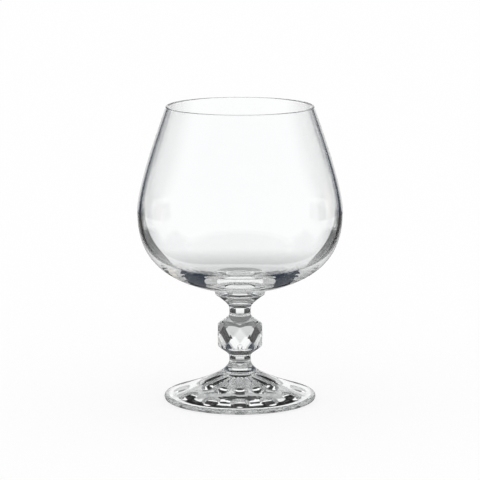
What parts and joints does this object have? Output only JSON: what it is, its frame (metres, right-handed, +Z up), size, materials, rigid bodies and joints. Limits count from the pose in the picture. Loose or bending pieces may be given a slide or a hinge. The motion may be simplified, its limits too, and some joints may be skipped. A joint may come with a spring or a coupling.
{
  "type": "brandy snifter",
  "caption": "Stemmed brandy glass with a wide belly narrowing to the rim, on a short stem with a faceted knop and a hollow trumpet foot patterned with petals.",
  "frame": {"origin": "on the table, on the axis of the glass, at the middle of the foot's resting ring", "axes": "+Z up along the axis of the glass, -Y towards the viewer of the picture, +X to the viewer's right"},
  "size_m": [0.081, 0.081, 0.117],
  "materials": {
    "blown_crystal": "thin blown crystal, clear and fire-polished",
    "pressed_crystal": "pressed crystal, clear, with slightly rounded facets and a very faint grey-green body"
  },
  "bodies": {
    "root": {"foot": "pressed_crystal", "knop_stem": "pressed_crystal", "merese": "pressed_crystal", "bowl": "blown_crystal"}
  },
  "joints": []
}
